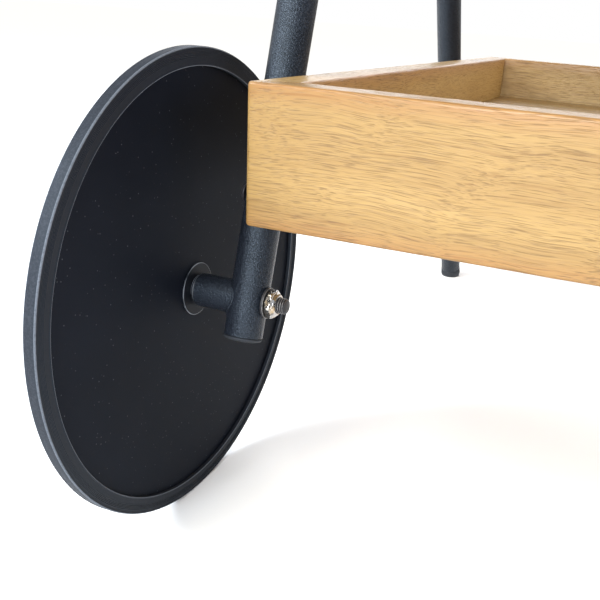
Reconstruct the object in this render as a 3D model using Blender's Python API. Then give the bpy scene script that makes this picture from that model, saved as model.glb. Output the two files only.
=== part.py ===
"""Outdoor bar cart: two bent tube side frames, two slatted timber trays, a timber grip
and two large disc wheels. Metres, +Z up, X across the cart, wheels at the -Y end.
The origin is on the ground under the middle of the cart."""

from math import atan, cos, pi, radians, sin, sqrt, tan

import bmesh
import bpy
from mathutils import Matrix, Vector

MM = 0.001
GAP = 0.3 * MM                      # left between pieces that touch

# Whole cart
CART_LENGTH = 758 * MM
WHEEL_RADIUS = 150 * MM
AXLE_HEIGHT = WHEEL_RADIUS
AXLE_Y = -CART_LENGTH / 2 + WHEEL_RADIUS

# Side frames
TUBE_RADIUS = 12.5 * MM
TUBE_WALL = 1.4 * MM
NEAR_LEAN = 0.317                   # run over rise of the wheel leg
FAR_LEAN = 0.50                     # run over rise of the foot leg
FAR_LEG_GROUND_Y = 364.7 * MM
TOP_BEND_RADIUS = 55 * MM
LEG_TAIL = 24 * MM                  # wheel leg below the axle
FOOT_LENGTH = 14 * MM
STUB_RADIUS = 11 * MM
STUB_BORE_RADIUS = 9.4 * MM
PLUG_HEIGHT = 3 * MM                # below the end of the wheel leg
PLUG_STEM = 9 * MM                  # inside the tube
FOOT_RADIUS = 12.8 * MM
SOLE_RADIUS = 11.5 * MM
FOOT_STEM = 12 * MM                 # inside the tube
STEM_TAPER = 0.5 * MM

# Trays
TRAY_WIDTH = 400 * MM
BOARD_THICKNESS = 23 * MM
BOARD_HEIGHT = 79 * MM
BOARD_ROUNDING = 1.9 * MM
CORNER_RADIUS = 2.6 * MM
FLOOR_ABOVE_BOTTOM = 35.5 * MM
SLAT_THICKNESS = 12 * MM
SLAT_PITCH = 45.6 * MM
SLAT_SPACE = 3.4 * MM
SLAT_END_SPACE = 0.6 * MM
SLAT_ROUNDING = 1 * MM
BATTEN_SIZE = 18 * MM
BATTEN_END_SPACE = 2 * MM
BATTEN_OVERLAP = 2 * MM             # joined into the slats
LOWER_TRAY = dict(name="lower", y=(-261 * MM, 379 * MM), bottom=207.6 * MM)
UPPER_TRAY = dict(name="upper", y=(-224.3 * MM, 215.7 * MM), bottom=490 * MM)
TRAYS = (LOWER_TRAY, UPPER_TRAY)

# Fixings
LEG_BOLT_RADIUS = 2.5 * MM
LEG_BOLT_HEIGHT = 6 * MM            # above a tray's bottom edge
INSERT_LENGTH = 13 * MM
INSERT_WALL = 1.2 * MM
INSERT_DEPTH = 1 * MM               # below the face of the wood
BORE_RUNOUT = 2 * MM                # beyond the end of an insert
GRIP_INSERT_LENGTH = 26 * MM
AXLE_BOLT_RADIUS = 5 * MM
AXLE_BOLT_REACH = 14.1 * MM         # inwards from the tray's side
AXLE_BOLT_CHAMFER = 0.8 * MM
AXLE_HEAD_RADIUS = 8.6 * MM
AXLE_HEAD_HEIGHT = 5.3 * MM
WASHER_RADIUS = 10 * MM
WASHER_THICKNESS = 1.7 * MM
NUT_ACROSS_FLATS = 17 * MM
NUT_ROUND_RADIUS = 9.5 * MM         # takes the corners off the hexagon
NUT_HEXAGON_HEIGHT = 4.6 * MM
NUT_HEIGHT = 6.6 * MM               # with its collar
NUT_COLLAR_RADIUS = 7.6 * MM
NUT_COLLAR_END_RADIUS = 6.2 * MM
GRIP_BOLT_RADIUS = 3 * MM
GRIP_RADIUS = 13 * MM
GRIP_END_SPACE = 0.4 * MM
GRIP_ROUNDING = 1.5 * MM

# Wheels, along the axle outwards from the tray's side
TYRE_INNER_X = 48.9 * MM
TYRE_WIDTH = 8 * MM
TYRE_LIP_RADIUS = 138.8 * MM
TYRE_ROUNDING = 1.6 * MM
TYRE_SEAT_DEPTH = 2.4 * MM          # disc edge inside the tyre
DISC_THICKNESS = 2 * MM
FLANGE_RADIUS = 17.5 * MM
FLANGE_THICKNESS = 0.9 * MM
FLANGE_CHAMFER = 0.4 * MM
BARREL_RADIUS = 8 * MM
BARREL_END = 5.6 * MM               # outwards from the middle of the disc
COLLAR_RADIUS = 9 * MM
COLLAR_HEIGHT = 0.9 * MM
SPACER_RADIUS = 9.6 * MM
CAP_RADIUS = 17 * MM
CAP_TOP = 15.5 * MM                 # outwards from the middle of the disc
STUB_END_X = 48.4 * MM              # outwards from the tray's side
WHEEL_SIDES = 48
HUB_SIDES = 24
TUBE_SIDES = 16
ROUND_SIDES = 20
BOLT_SIDES = 10

TUBE_X = TRAY_WIDTH / 2 + 0.5 * MM + TUBE_RADIUS
WHEEL_X = TRAY_WIDTH / 2 + TYRE_INNER_X + TYRE_WIDTH / 2
SIDES = (("left", -1), ("right", 1))


def clear_scene():
    for item in list(bpy.data.objects):
        bpy.data.objects.remove(item, do_unlink=True)


def finish(name, colour, roughness, metallic=0.0):
    made = bpy.data.materials.new(name)
    made.use_nodes = True
    shader = made.node_tree.nodes["Principled BSDF"]
    shader.inputs["Base Color"].default_value = (*colour, 1.0)
    shader.inputs["Roughness"].default_value = roughness
    shader.inputs["Metallic"].default_value = metallic
    made.diffuse_color = (*colour, 1.0)
    return made


def add_piece(name, shape, material, smooth=None, parent=None, location=(0, 0, 0)):
    """Turn a bmesh into a named object; smooth is the angle that stays sharp, in degrees."""
    bmesh.ops.remove_doubles(shape, verts=shape.verts, dist=1e-7)
    bmesh.ops.recalc_face_normals(shape, faces=shape.faces)
    mesh = bpy.data.meshes.new(name)
    shape.to_mesh(mesh)
    shape.free()
    if smooth:
        mesh.shade_smooth()
        mesh.set_sharp_from_angle(angle=radians(smooth))
    mesh.materials.append(material)
    piece = bpy.data.objects.new(name, mesh)
    bpy.context.collection.objects.link(piece)
    piece.parent = parent
    piece.location = location
    return piece


def add_cutter(name, shape):
    cutter = add_piece(name, shape, steel_black)
    cutter.hide_render = True
    cutter.display_type = "WIRE"
    return cutter


def cut(piece, cutter):
    boolean = piece.modifiers.new("cut_" + cutter.name, "BOOLEAN")
    boolean.operation = "DIFFERENCE"
    boolean.solver = "EXACT"
    boolean.object = cutter


def bridge(shape, rings, closed_loop):
    """Join neighbouring rings of vertices with quads, and a pole with triangles."""
    pairs = list(zip(rings, rings[1:]))
    if closed_loop:
        pairs.append((rings[-1], rings[0]))
    for first, second in pairs:
        count = max(len(first), len(second))
        for i in range(count):
            j = (i + 1) % count
            corners = [first[i % len(first)], first[j % len(first)],
                       second[j % len(second)], second[i % len(second)]]
            corners = list(dict.fromkeys(corners))
            if len(corners) > 2:
                shape.faces.new(corners)


def turn(shape, profile, origin, axis, sides, closed_loop=False):
    """Turn (distance along axis, radius) points round an axis through origin."""
    axis = Vector(axis).normalized()
    across = axis.orthogonal().normalized()
    if abs(axis.x) > 0.9:
        across = Vector((0, 0, 1))
    other = axis.cross(across)
    rings = []
    for along, radius in profile:
        centre = Vector(origin) + axis * along
        if radius < 1e-9:
            rings.append([shape.verts.new(centre)])
            continue
        angles = [2 * pi * (k + 0.5) / sides for k in range(sides)]
        rings.append([shape.verts.new(centre + radius * (across * cos(a) + other * sin(a)))
                      for a in angles])
    bridge(shape, rings, closed_loop)


def box(shape, low, high):
    middle = (Vector(low) + Vector(high)) / 2
    size = Vector(high) - Vector(low)
    place = Matrix.Translation(middle) @ Matrix.Diagonal((*size, 1))
    return bmesh.ops.create_cube(shape, size=1, matrix=place)["verts"]


def rounded_box(shape, low, high, rounding):
    corners = box(shape, low, high)
    edges = list({edge for vert in corners for edge in vert.link_edges})
    bmesh.ops.bevel(shape, geom=edges, offset=rounding, segments=1, affect="EDGES")


def near_leg_y(z):
    return AXLE_Y + (z - AXLE_HEIGHT) * NEAR_LEAN


def far_leg_y(z):
    return FAR_LEG_GROUND_Y - z * FAR_LEAN


def frame_path():
    """Centre line of a side frame in (y, z): wheel leg, rounded top, foot leg."""
    near_up = Vector((sin(atan(NEAR_LEAN)), cos(atan(NEAR_LEAN))))
    far_up = Vector((-sin(atan(FAR_LEAN)), cos(atan(FAR_LEAN))))
    apex_z = (far_leg_y(0) - near_leg_y(0)) / (NEAR_LEAN + FAR_LEAN)
    apex = Vector((near_leg_y(apex_z), apex_z))
    half_angle = (atan(NEAR_LEAN) + atan(FAR_LEAN)) / 2
    tangent_length = TOP_BEND_RADIUS / tan(half_angle)
    bend_start = apex - near_up * tangent_length
    centre = bend_start + Vector((near_up.y, -near_up.x)) * TOP_BEND_RADIUS
    start_angle = pi - atan(NEAR_LEAN)
    turn_angle = pi - 2 * half_angle
    steps = 10
    bend = [centre + TOP_BEND_RADIUS * Vector((cos(start_angle - turn_angle * k / steps),
                                               sin(start_angle - turn_angle * k / steps)))
            for k in range(steps + 1)]
    low_near = Vector((AXLE_Y, AXLE_HEIGHT)) - near_up * LEG_TAIL
    low_far = Vector((far_leg_y(0), 0)) + far_up * FOOT_LENGTH
    return [low_near] + bend + [low_far], bend[steps // 2]


def sweep_tube(shape, path, x, radius, wall, sides):
    """Carry a round tube along a path in the plane X = x, open at both ends."""
    layers = []
    for r in (radius, radius - wall):
        rings = []
        for k, point in enumerate(path):
            before = path[max(k - 1, 0)]
            after = path[min(k + 1, len(path) - 1)]
            tangent = (after - before).normalized()
            normal = Vector((-tangent.y, tangent.x))
            ring = []
            for i in range(sides):
                a = 2 * pi * i / sides
                place = point + normal * r * sin(a)
                ring.append(shape.verts.new((x + r * cos(a), place.x, place.y)))
            rings.append(ring)
        layers.append(rings)
    outer, inner = layers
    bridge(shape, outer + inner[::-1], closed_loop=True)


def leg_bolt_places(tray):
    """Where a bolt passes each leg of a side frame: (end name, y, z)."""
    z = tray["bottom"] + LEG_BOLT_HEIGHT
    return (("near", near_leg_y(z), z), ("far", far_leg_y(z), z))


def build_side_frames():
    path, grip_centre = frame_path()
    near_axis = Vector((0, sin(atan(NEAR_LEAN)), cos(atan(NEAR_LEAN))))
    far_axis = Vector((0, -sin(atan(FAR_LEAN)), cos(atan(FAR_LEAN))))
    for side_name, side in SIDES:
        x = side * TUBE_X
        shape = bmesh.new()
        sweep_tube(shape, path, x, TUBE_RADIUS, TUBE_WALL, sides=TUBE_SIDES)
        frame = add_piece("side_frame_" + side_name, shape, steel_black, smooth=40)

        holes = bmesh.new()
        reach = TUBE_RADIUS + 4 * MM
        drilled = [(y, z, LEG_BOLT_RADIUS) for tray in TRAYS for _, y, z in leg_bolt_places(tray)]
        drilled.append((AXLE_Y, AXLE_HEIGHT, AXLE_BOLT_RADIUS))
        drilled.append((grip_centre.x, grip_centre.y, GRIP_BOLT_RADIUS))
        for y, z, radius in drilled:
            ends = [(-reach, 0), (-reach, radius + GAP), (reach, radius + GAP), (reach, 0)]
            turn(holes, ends, (x, y, z), (1, 0, 0), BOLT_SIDES)
        cut(frame, add_cutter("frame_holes_" + side_name, holes))

        stem = TUBE_RADIUS - TUBE_WALL - GAP
        low_near = (x, path[0].x, path[0].y)
        plug = bmesh.new()
        low = -PLUG_HEIGHT
        turn(plug, [(low, 0), (low, TUBE_RADIUS - 3 * MM), (low + 0.8 * MM, TUBE_RADIUS - 0.7 * MM),
                    (low + 1.8 * MM, TUBE_RADIUS), (-GAP, TUBE_RADIUS), (-GAP, stem),
                    (PLUG_STEM, stem - STEM_TAPER), (PLUG_STEM, 0)],
             low_near, near_axis, TUBE_SIDES)
        add_piece("leg_plug_" + side_name, plug, plastic_black, smooth=40)

        low_far = (x, path[-1].x, path[-1].y)
        foot = bmesh.new()
        drop = FOOT_LENGTH + TUBE_RADIUS
        turn(foot, [(-drop, 0), (-drop, SOLE_RADIUS), (-11.5 * MM, SOLE_RADIUS),
                    (-8.5 * MM, FOOT_RADIUS), (-1.0 * MM, FOOT_RADIUS), (-GAP, FOOT_RADIUS - 0.6 * MM),
                    (-GAP, stem), (FOOT_STEM, stem - STEM_TAPER), (FOOT_STEM, 0)],
             low_far, far_axis, TUBE_SIDES)
        ground = bmesh.ops.bisect_plane(foot, geom=foot.verts[:] + foot.edges[:] + foot.faces[:],
                                        plane_co=(0, 0, 0), plane_no=(0, 0, -1), clear_outer=True)
        rim = [item for item in ground["geom_cut"] if isinstance(item, bmesh.types.BMEdge)]
        bmesh.ops.edgeloop_fill(foot, edges=rim)
        add_piece("foot_" + side_name, foot, rubber, smooth=40)

        stub = bmesh.new()
        length = TRAY_WIDTH / 2 + STUB_END_X - TUBE_X
        turn(stub, [(0, STUB_RADIUS), (length, STUB_RADIUS), (length, STUB_BORE_RADIUS),
                    (0, STUB_BORE_RADIUS)], (x, AXLE_Y, AXLE_HEIGHT), (side, 0, 0), HUB_SIDES,
             closed_loop=True)
        stub = add_piece("axle_stub_" + side_name, stub, steel_black, smooth=40)
        cope = bmesh.new()
        reach = 30 * MM
        turn(cope, [(-reach, 0), (-reach, TUBE_RADIUS + GAP), (reach, TUBE_RADIUS + GAP),
                    (reach, 0)], (x, AXLE_Y, AXLE_HEIGHT), near_axis, 32)
        cut(stub, add_cutter("stub_cope_" + side_name, cope))


def board_outline(length, inset):
    """Plan of a board with 45 degree ends, its long sides drawn in by inset.

    u runs along the board and v from its outer face inwards.
    """
    slack = GAP / sqrt(2)
    radius = CORNER_RADIUS - inset
    inner_v = BOARD_THICKNESS - inset
    points = []
    for end in (-1, 1):
        corner = [(end * (length / 2 - CORNER_RADIUS + radius * sin(a)), CORNER_RADIUS - radius * cos(a))
                  for a in (0, radians(22.5), radians(45))]
        corner[-1] = (corner[-1][0] - end * slack, corner[-1][1])
        corner.append((end * (length / 2 - inner_v - slack), inner_v))
        points += corner if end > 0 else corner[::-1]
    return points


def mitred_board(shape, length, place):
    """Stack the outline into a board whose four long edges are rounded."""
    r = BOARD_ROUNDING
    levels = [(r * (1 - cos(a)), r * (1 - sin(a))) for a in (0, pi / 4, pi / 2)]
    levels += [(BOARD_HEIGHT - z, inset) for z, inset in levels[::-1]]
    rings = [[shape.verts.new(place @ Vector((u, v, z))) for u, v in board_outline(length, inset)]
             for z, inset in levels]
    bridge(shape, rings, closed_loop=False)
    shape.faces.new(rings[0])
    shape.faces.new(rings[-1])


def tray_boards(tray):
    """Name, length and placing matrix of a tray's four boards, outer faces outwards."""
    y0, y1 = tray["y"]
    depth = y1 - y0
    middle = (y0 + y1) / 2
    half = TRAY_WIDTH / 2
    lift = Matrix.Translation((0, 0, tray["bottom"]))

    def placed(x, y, angle):
        return lift @ Matrix.Translation((x, y, 0)) @ Matrix.Rotation(radians(angle), 4, "Z")

    return [("near", TRAY_WIDTH, placed(0, y0, 0)), ("far", TRAY_WIDTH, placed(0, y1, 180)),
            ("left", depth, placed(-half, middle, -90)), ("right", depth, placed(half, middle, 90))]


def bolt_and_insert(place_name, origin, side, bolt_radius, insert_length, seat, wood_face):
    """Button-head bolt, its brass insert, and the cutter that bores the timber.

    seat and wood_face are distances from the cart's middle plane, along X.
    """
    r = bolt_radius
    insert_radius = r + INSERT_WALL
    y, z = origin
    axis = (side, 0, 0)
    insert_start = wood_face - INSERT_DEPTH
    insert_end = wood_face - insert_length
    bolt_end = insert_end + 2 * MM
    socket = seat + 1.2 * MM
    bolt = bmesh.new()
    turn(bolt, [(socket, 0), (socket, 0.7 * r), (seat + 3.4 * MM, 0.8 * r),
                (seat + 3.0 * MM, 1.5 * r), (seat + 1.6 * MM, 2.1 * r), (seat, 2.4 * r),
                (seat, r), (bolt_end, r), (bolt_end, 0)], (0, y, z), axis, BOLT_SIDES)
    add_piece(place_name.replace("*", "bolt"), bolt, bolt_black, smooth=40)
    insert = bmesh.new()
    turn(insert, [(insert_start, insert_radius), (insert_end, insert_radius),
                  (insert_end, r + GAP), (insert_start, r + GAP)],
         (0, y, z), axis, BOLT_SIDES, closed_loop=True)
    add_piece(place_name.replace("*", "insert"), insert, brass, smooth=40)
    bore = bmesh.new()
    bore_start = wood_face + 5 * MM
    bore_end = insert_end - BORE_RUNOUT
    turn(bore, [(bore_start, 0), (bore_start, insert_radius + GAP), (bore_end, insert_radius + GAP),
                (bore_end, 0)], (0, y, z), axis, BOLT_SIDES)
    return add_cutter(place_name.replace("*", "bore"), bore)


def build_floor(tray):
    """Slats across the tray on two battens, joined as one panel."""
    name = tray["name"]
    y0, y1 = tray["y"]
    inside = TRAY_WIDTH / 2 - BOARD_THICKNESS
    top = tray["bottom"] + FLOOR_ABOVE_BOTTOM
    clear = y1 - y0 - 2 * BOARD_THICKNESS
    count = round(clear / SLAT_PITCH)
    pitch = clear / count
    slats = bmesh.new()
    for k in range(count):
        start = y0 + BOARD_THICKNESS + k * pitch + SLAT_SPACE / 2
        rounded_box(slats, (-inside + SLAT_END_SPACE, start, top - SLAT_THICKNESS),
                    (inside - SLAT_END_SPACE, start + pitch - SLAT_SPACE, top), SLAT_ROUNDING)
    floor = add_piece(name + "_floor", slats, acacia)
    batten_top = top - SLAT_THICKNESS + BATTEN_OVERLAP
    batten_y = (y0 + BOARD_THICKNESS + BATTEN_END_SPACE, y1 - BOARD_THICKNESS - BATTEN_END_SPACE)
    battens = bmesh.new()
    for side in (-1, 1):
        edges = sorted((side * (inside - GAP), side * (inside - GAP - BATTEN_SIZE)))
        box(battens, (edges[0], batten_y[0], batten_top - BATTEN_SIZE),
            (edges[1], batten_y[1], batten_top))
    join = floor.modifiers.new("battens", "BOOLEAN")
    join.operation = "UNION"
    join.solver = "EXACT"
    join.object = add_cutter(name + "_battens", battens)


def build_tray(tray):
    name = tray["name"]
    half = TRAY_WIDTH / 2
    seat = TUBE_X + TUBE_RADIUS + GAP
    bores = {"left": [], "right": []}
    for side_name, side in SIDES:
        for end, y, z in leg_bolt_places(tray):
            place_name = f"{name}_leg_*_{end}_{side_name}"
            bores[side_name].append(bolt_and_insert(place_name, (y, z), side, LEG_BOLT_RADIUS,
                                                    INSERT_LENGTH, seat, half))
    for board_name, length, place in tray_boards(tray):
        shape = bmesh.new()
        mitred_board(shape, length, place)
        board = add_piece(name + "_" + board_name + "_board", shape, acacia, smooth=40)
        for bore in bores.get(board_name, ()):
            cut(board, bore)
    build_floor(tray)


def build_grip():
    """Timber grip between the tops of the side frames, bolted through the tubes."""
    _, centre = frame_path()
    half = TUBE_X - TUBE_RADIUS - GRIP_END_SPACE
    seat = TUBE_X + TUBE_RADIUS + GAP
    flat = GRIP_RADIUS - GRIP_ROUNDING
    barrel = half - GRIP_ROUNDING
    shape = bmesh.new()
    turn(shape, [(-half, 0), (-half, flat), (-barrel, GRIP_RADIUS), (barrel, GRIP_RADIUS),
                 (half, flat), (half, 0)], (0, centre.x, centre.y), (1, 0, 0), ROUND_SIDES)
    grip = add_piece("grip_bar", shape, acacia, smooth=40)
    for side_name, side in SIDES:
        cut(grip, bolt_and_insert("grip_*_" + side_name, centre, side, GRIP_BOLT_RADIUS,
                                  GRIP_INSERT_LENGTH, seat, half))


def build_wheel(side_name, side):
    """Disc wheel turned about its axle; every profile is (distance outwards, radius)."""
    hub = bpy.data.objects.new("wheel_axis_" + side_name, None)
    hub.location = (side * WHEEL_X, AXLE_Y, AXLE_HEIGHT)
    bpy.context.collection.objects.link(hub)

    def spun(name, profile, material, sides, closed_loop=False):
        shape = bmesh.new()
        turn(shape, profile, (0, 0, 0), (side, 0, 0), sides, closed_loop)
        return add_piece(name + "_" + side_name, shape, material, smooth=35, parent=hub)

    w = TYRE_WIDTH / 2
    lip = TYRE_LIP_RADIUS
    groove = DISC_THICKNESS / 2 + GAP
    disc_edge = lip + TYRE_SEAT_DEPTH
    shoulder = WHEEL_RADIUS - TYRE_ROUNDING
    tread = w - TYRE_ROUNDING
    crown = [(w, lip), (w, shoulder), (tread, WHEEL_RADIUS), (-tread, WHEEL_RADIUS),
             (-w, shoulder), (-w, lip)]
    seat = [(-groove, lip), (-groove, disc_edge + GAP), (groove, disc_edge + GAP), (groove, lip)]
    flats_at_radius = 1 / cos(pi / WHEEL_SIDES)     # a flat, not a corner, meets the ground
    tyre = [(along, radius * flats_at_radius) for along, radius in crown + seat]
    spun("tyre", tyre, rubber, WHEEL_SIDES, closed_loop=True)

    d = DISC_THICKNESS / 2
    barrel = BARREL_RADIUS
    bore = barrel + GAP
    spun("wheel_disc", [(-d, bore), (-d, disc_edge), (d, disc_edge), (d, bore)],
         steel_matt, WHEEL_SIDES, closed_loop=True)

    flange_in = d + GAP
    flange_out = flange_in + FLANGE_THICKNESS
    collar = flange_out + COLLAR_HEIGHT
    axle_bore = AXLE_BOLT_RADIUS + GAP
    rim = FLANGE_CHAMFER
    spun("hub_bush", [(-collar, axle_bore), (-collar, COLLAR_RADIUS - rim),
                      (-flange_out, COLLAR_RADIUS), (-flange_out, FLANGE_RADIUS - rim),
                      (-flange_out + rim, FLANGE_RADIUS), (-flange_in, FLANGE_RADIUS),
                      (-flange_in, barrel), (BARREL_END, barrel), (BARREL_END, axle_bore)],
         steel_black, HUB_SIDES, closed_loop=True)
    spun("hub_flange", [(flange_in, bore), (flange_in, FLANGE_RADIUS), (flange_out, FLANGE_RADIUS),
                        (flange_out, bore)], steel_black, HUB_SIDES, closed_loop=True)
    foot = flange_out + GAP
    outside = [(foot, CAP_RADIUS), (CAP_TOP - 4 * MM, CAP_RADIUS - 0.6 * MM),
               (CAP_TOP - 1.4 * MM, CAP_RADIUS - 2.8 * MM), (CAP_TOP - 0.3 * MM, 10 * MM), (CAP_TOP, 0)]
    inside = [(CAP_TOP - 1.6 * MM, 0), (CAP_TOP - 2.2 * MM, 10 * MM),
              (CAP_TOP - 3.2 * MM, CAP_RADIUS - 4.2 * MM), (CAP_TOP - 4.8 * MM, CAP_RADIUS - 2.4 * MM),
              (foot, CAP_RADIUS - 1.8 * MM)]
    spun("hub_cap", outside + inside, plastic_black, HUB_SIDES, closed_loop=True)

    # Axle bolt, its washer and lock nut, and the spacer at the stub: these do not turn
    def fixed(name, profile, material, sides, closed_loop=False):
        shape = bmesh.new()
        origin = (side * WHEEL_X, AXLE_Y, AXLE_HEIGHT)
        turn(shape, profile, origin, (side, 0, 0), sides, closed_loop)
        return add_piece(name + "_" + side_name, shape, material, smooth=35)

    head_seat = BARREL_END + GAP
    head_top = head_seat + AXLE_HEAD_HEIGHT
    tube_face = -(WHEEL_X - TUBE_X + TUBE_RADIUS)
    r = AXLE_BOLT_RADIUS
    bolt_end = -(WHEEL_X - TRAY_WIDTH / 2 + AXLE_BOLT_REACH)
    head = AXLE_HEAD_RADIUS
    tip = AXLE_BOLT_CHAMFER
    fixed("axle_bolt", [(head_top, 0), (head_top, head - 1 * MM), (head_top - 0.6 * MM, head),
                        (head_seat, head), (head_seat, r), (bolt_end + tip, r),
                        (bolt_end, r - tip), (bolt_end, 0)], bolt_black, ROUND_SIDES)
    stub_end = -(WHEEL_X - TRAY_WIDTH / 2 - STUB_END_X)
    spacer_inner = stub_end + GAP
    spacer_outer = -collar - GAP
    fixed("axle_spacer", [(spacer_inner, r + GAP), (spacer_inner, SPACER_RADIUS),
                          (spacer_outer, SPACER_RADIUS), (spacer_outer, r + GAP)],
          zinc, ROUND_SIDES, closed_loop=True)
    washer_in = tube_face - GAP
    washer_out = washer_in - WASHER_THICKNESS
    fixed("axle_washer", [(washer_in, r + GAP), (washer_in, WASHER_RADIUS), (washer_out, WASHER_RADIUS),
                          (washer_out, r + GAP)], bolt_black, ROUND_SIDES, closed_loop=True)
    build_lock_nut("axle_nut_" + side_name, side, washer_out - GAP)


def build_lock_nut(name, side, seat):
    """Hexagon lock nut with a round collar, seated at a distance along the axle."""
    corner = NUT_ACROSS_FLATS / 2 / cos(radians(30))
    origin = (side * WHEEL_X, AXLE_Y, AXLE_HEIGHT)
    axis = (side, 0, 0)
    round_radius = NUT_ROUND_RADIUS
    shoulder = seat - NUT_HEXAGON_HEIGHT
    end = seat - NUT_HEIGHT
    clear_end = end - 0.4 * MM
    hexagon = bmesh.new()
    turn(hexagon, [(seat, 0), (seat, corner), (shoulder, corner), (shoulder, 0)], origin, axis, 6)
    nut = add_piece(name, hexagon, chrome)
    dome = bmesh.new()
    turn(dome, [(seat + 1 * MM, 0), (seat + 1 * MM, round_radius - 0.9 * MM),
                (seat - 0.8 * MM, round_radius), (shoulder + 1.2 * MM, round_radius),
                (shoulder, round_radius - 1.5 * MM), (end + 0.6 * MM, NUT_COLLAR_RADIUS - 0.4 * MM),
                (clear_end, NUT_COLLAR_END_RADIUS), (clear_end, 0)], origin, axis, HUB_SIDES)
    trim = add_cutter(name + "_round", dome)
    meet = nut.modifiers.new("round_corners", "BOOLEAN")
    meet.operation = "INTERSECT"
    meet.solver = "EXACT"
    meet.object = trim
    collar = bmesh.new()
    root = shoulder + 0.6 * MM
    turn(collar, [(root, 0), (root, NUT_COLLAR_RADIUS), (end + 0.6 * MM, NUT_COLLAR_RADIUS - 0.5 * MM),
                  (end, NUT_COLLAR_END_RADIUS), (end, 0)], origin, axis, HUB_SIDES)
    join = nut.modifiers.new("add_collar", "BOOLEAN")
    join.operation = "UNION"
    join.solver = "EXACT"
    join.object = add_cutter(name + "_collar", collar)
    hole = bmesh.new()
    thread = AXLE_BOLT_RADIUS + GAP
    above = seat + 3 * MM
    below = end - 4.4 * MM
    turn(hole, [(above, 0), (above, thread), (below, thread), (below, 0)], origin, axis, HUB_SIDES)
    cut(nut, add_cutter(name + "_thread", hole))


clear_scene()
steel_black = finish("black powder coat", (0.018, 0.020, 0.024), 0.45, 0.3)
steel_matt = finish("matt black disc", (0.012, 0.013, 0.016), 0.6, 0.2)
bolt_black = finish("blackened steel", (0.03, 0.03, 0.033), 0.35, 0.8)
zinc = finish("zinc plate", (0.62, 0.63, 0.65), 0.35, 1.0)
chrome = finish("bright plate", (0.78, 0.78, 0.78), 0.15, 1.0)
brass = finish("brass", (0.66, 0.48, 0.20), 0.35, 1.0)
rubber = finish("black rubber", (0.020, 0.021, 0.024), 0.75)
plastic_black = finish("black plastic", (0.015, 0.015, 0.017), 0.5)
acacia = finish("oiled acacia", (0.56, 0.33, 0.12), 0.5)

build_side_frames()
for tray in TRAYS:
    build_tray(tray)
build_grip()
for side_name, side in SIDES:
    build_wheel(side_name, side)
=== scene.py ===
import bmesh
import bpy
import numpy as np
from mathutils import Matrix, Vector


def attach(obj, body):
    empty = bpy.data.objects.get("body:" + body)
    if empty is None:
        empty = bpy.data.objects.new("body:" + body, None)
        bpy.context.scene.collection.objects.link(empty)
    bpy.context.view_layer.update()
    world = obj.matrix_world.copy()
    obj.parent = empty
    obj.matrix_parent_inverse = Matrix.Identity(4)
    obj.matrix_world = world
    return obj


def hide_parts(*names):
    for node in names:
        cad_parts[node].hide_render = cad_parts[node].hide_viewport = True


# Outdoor bar cart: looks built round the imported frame. Metres, +Z up, wheels at the -Y end.

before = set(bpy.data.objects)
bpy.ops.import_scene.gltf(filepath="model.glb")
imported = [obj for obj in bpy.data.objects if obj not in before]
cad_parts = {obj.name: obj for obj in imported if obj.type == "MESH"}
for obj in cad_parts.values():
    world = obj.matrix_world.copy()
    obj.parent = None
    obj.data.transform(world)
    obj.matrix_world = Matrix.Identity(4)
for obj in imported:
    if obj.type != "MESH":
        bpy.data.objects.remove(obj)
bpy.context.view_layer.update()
print("frame loaded:", len(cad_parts), "nodes")

mm = 0.001
cart = {
    "axleY": -229 * mm, "axleZ": 150 * mm,      # both wheels turn about this line
    "tubeX": 213 * mm, "tubeRadius": 12.5 * mm, "tubeWall": 1.4 * mm,
    "wheelX": 252.9 * mm,                       # middle plane of a wheel
    "trayHalf": 200 * mm,                       # half a tray's width
    "gap": 0.3 * mm,
    "nearLean": 0.317, "farLean": 0.50,         # run over rise of the two legs
    "farGroundY": 364.7 * mm,
}
sides = (("left", -1), ("right", 1))
axle = np.array([0, cart["axleY"], cart["axleZ"]])


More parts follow.
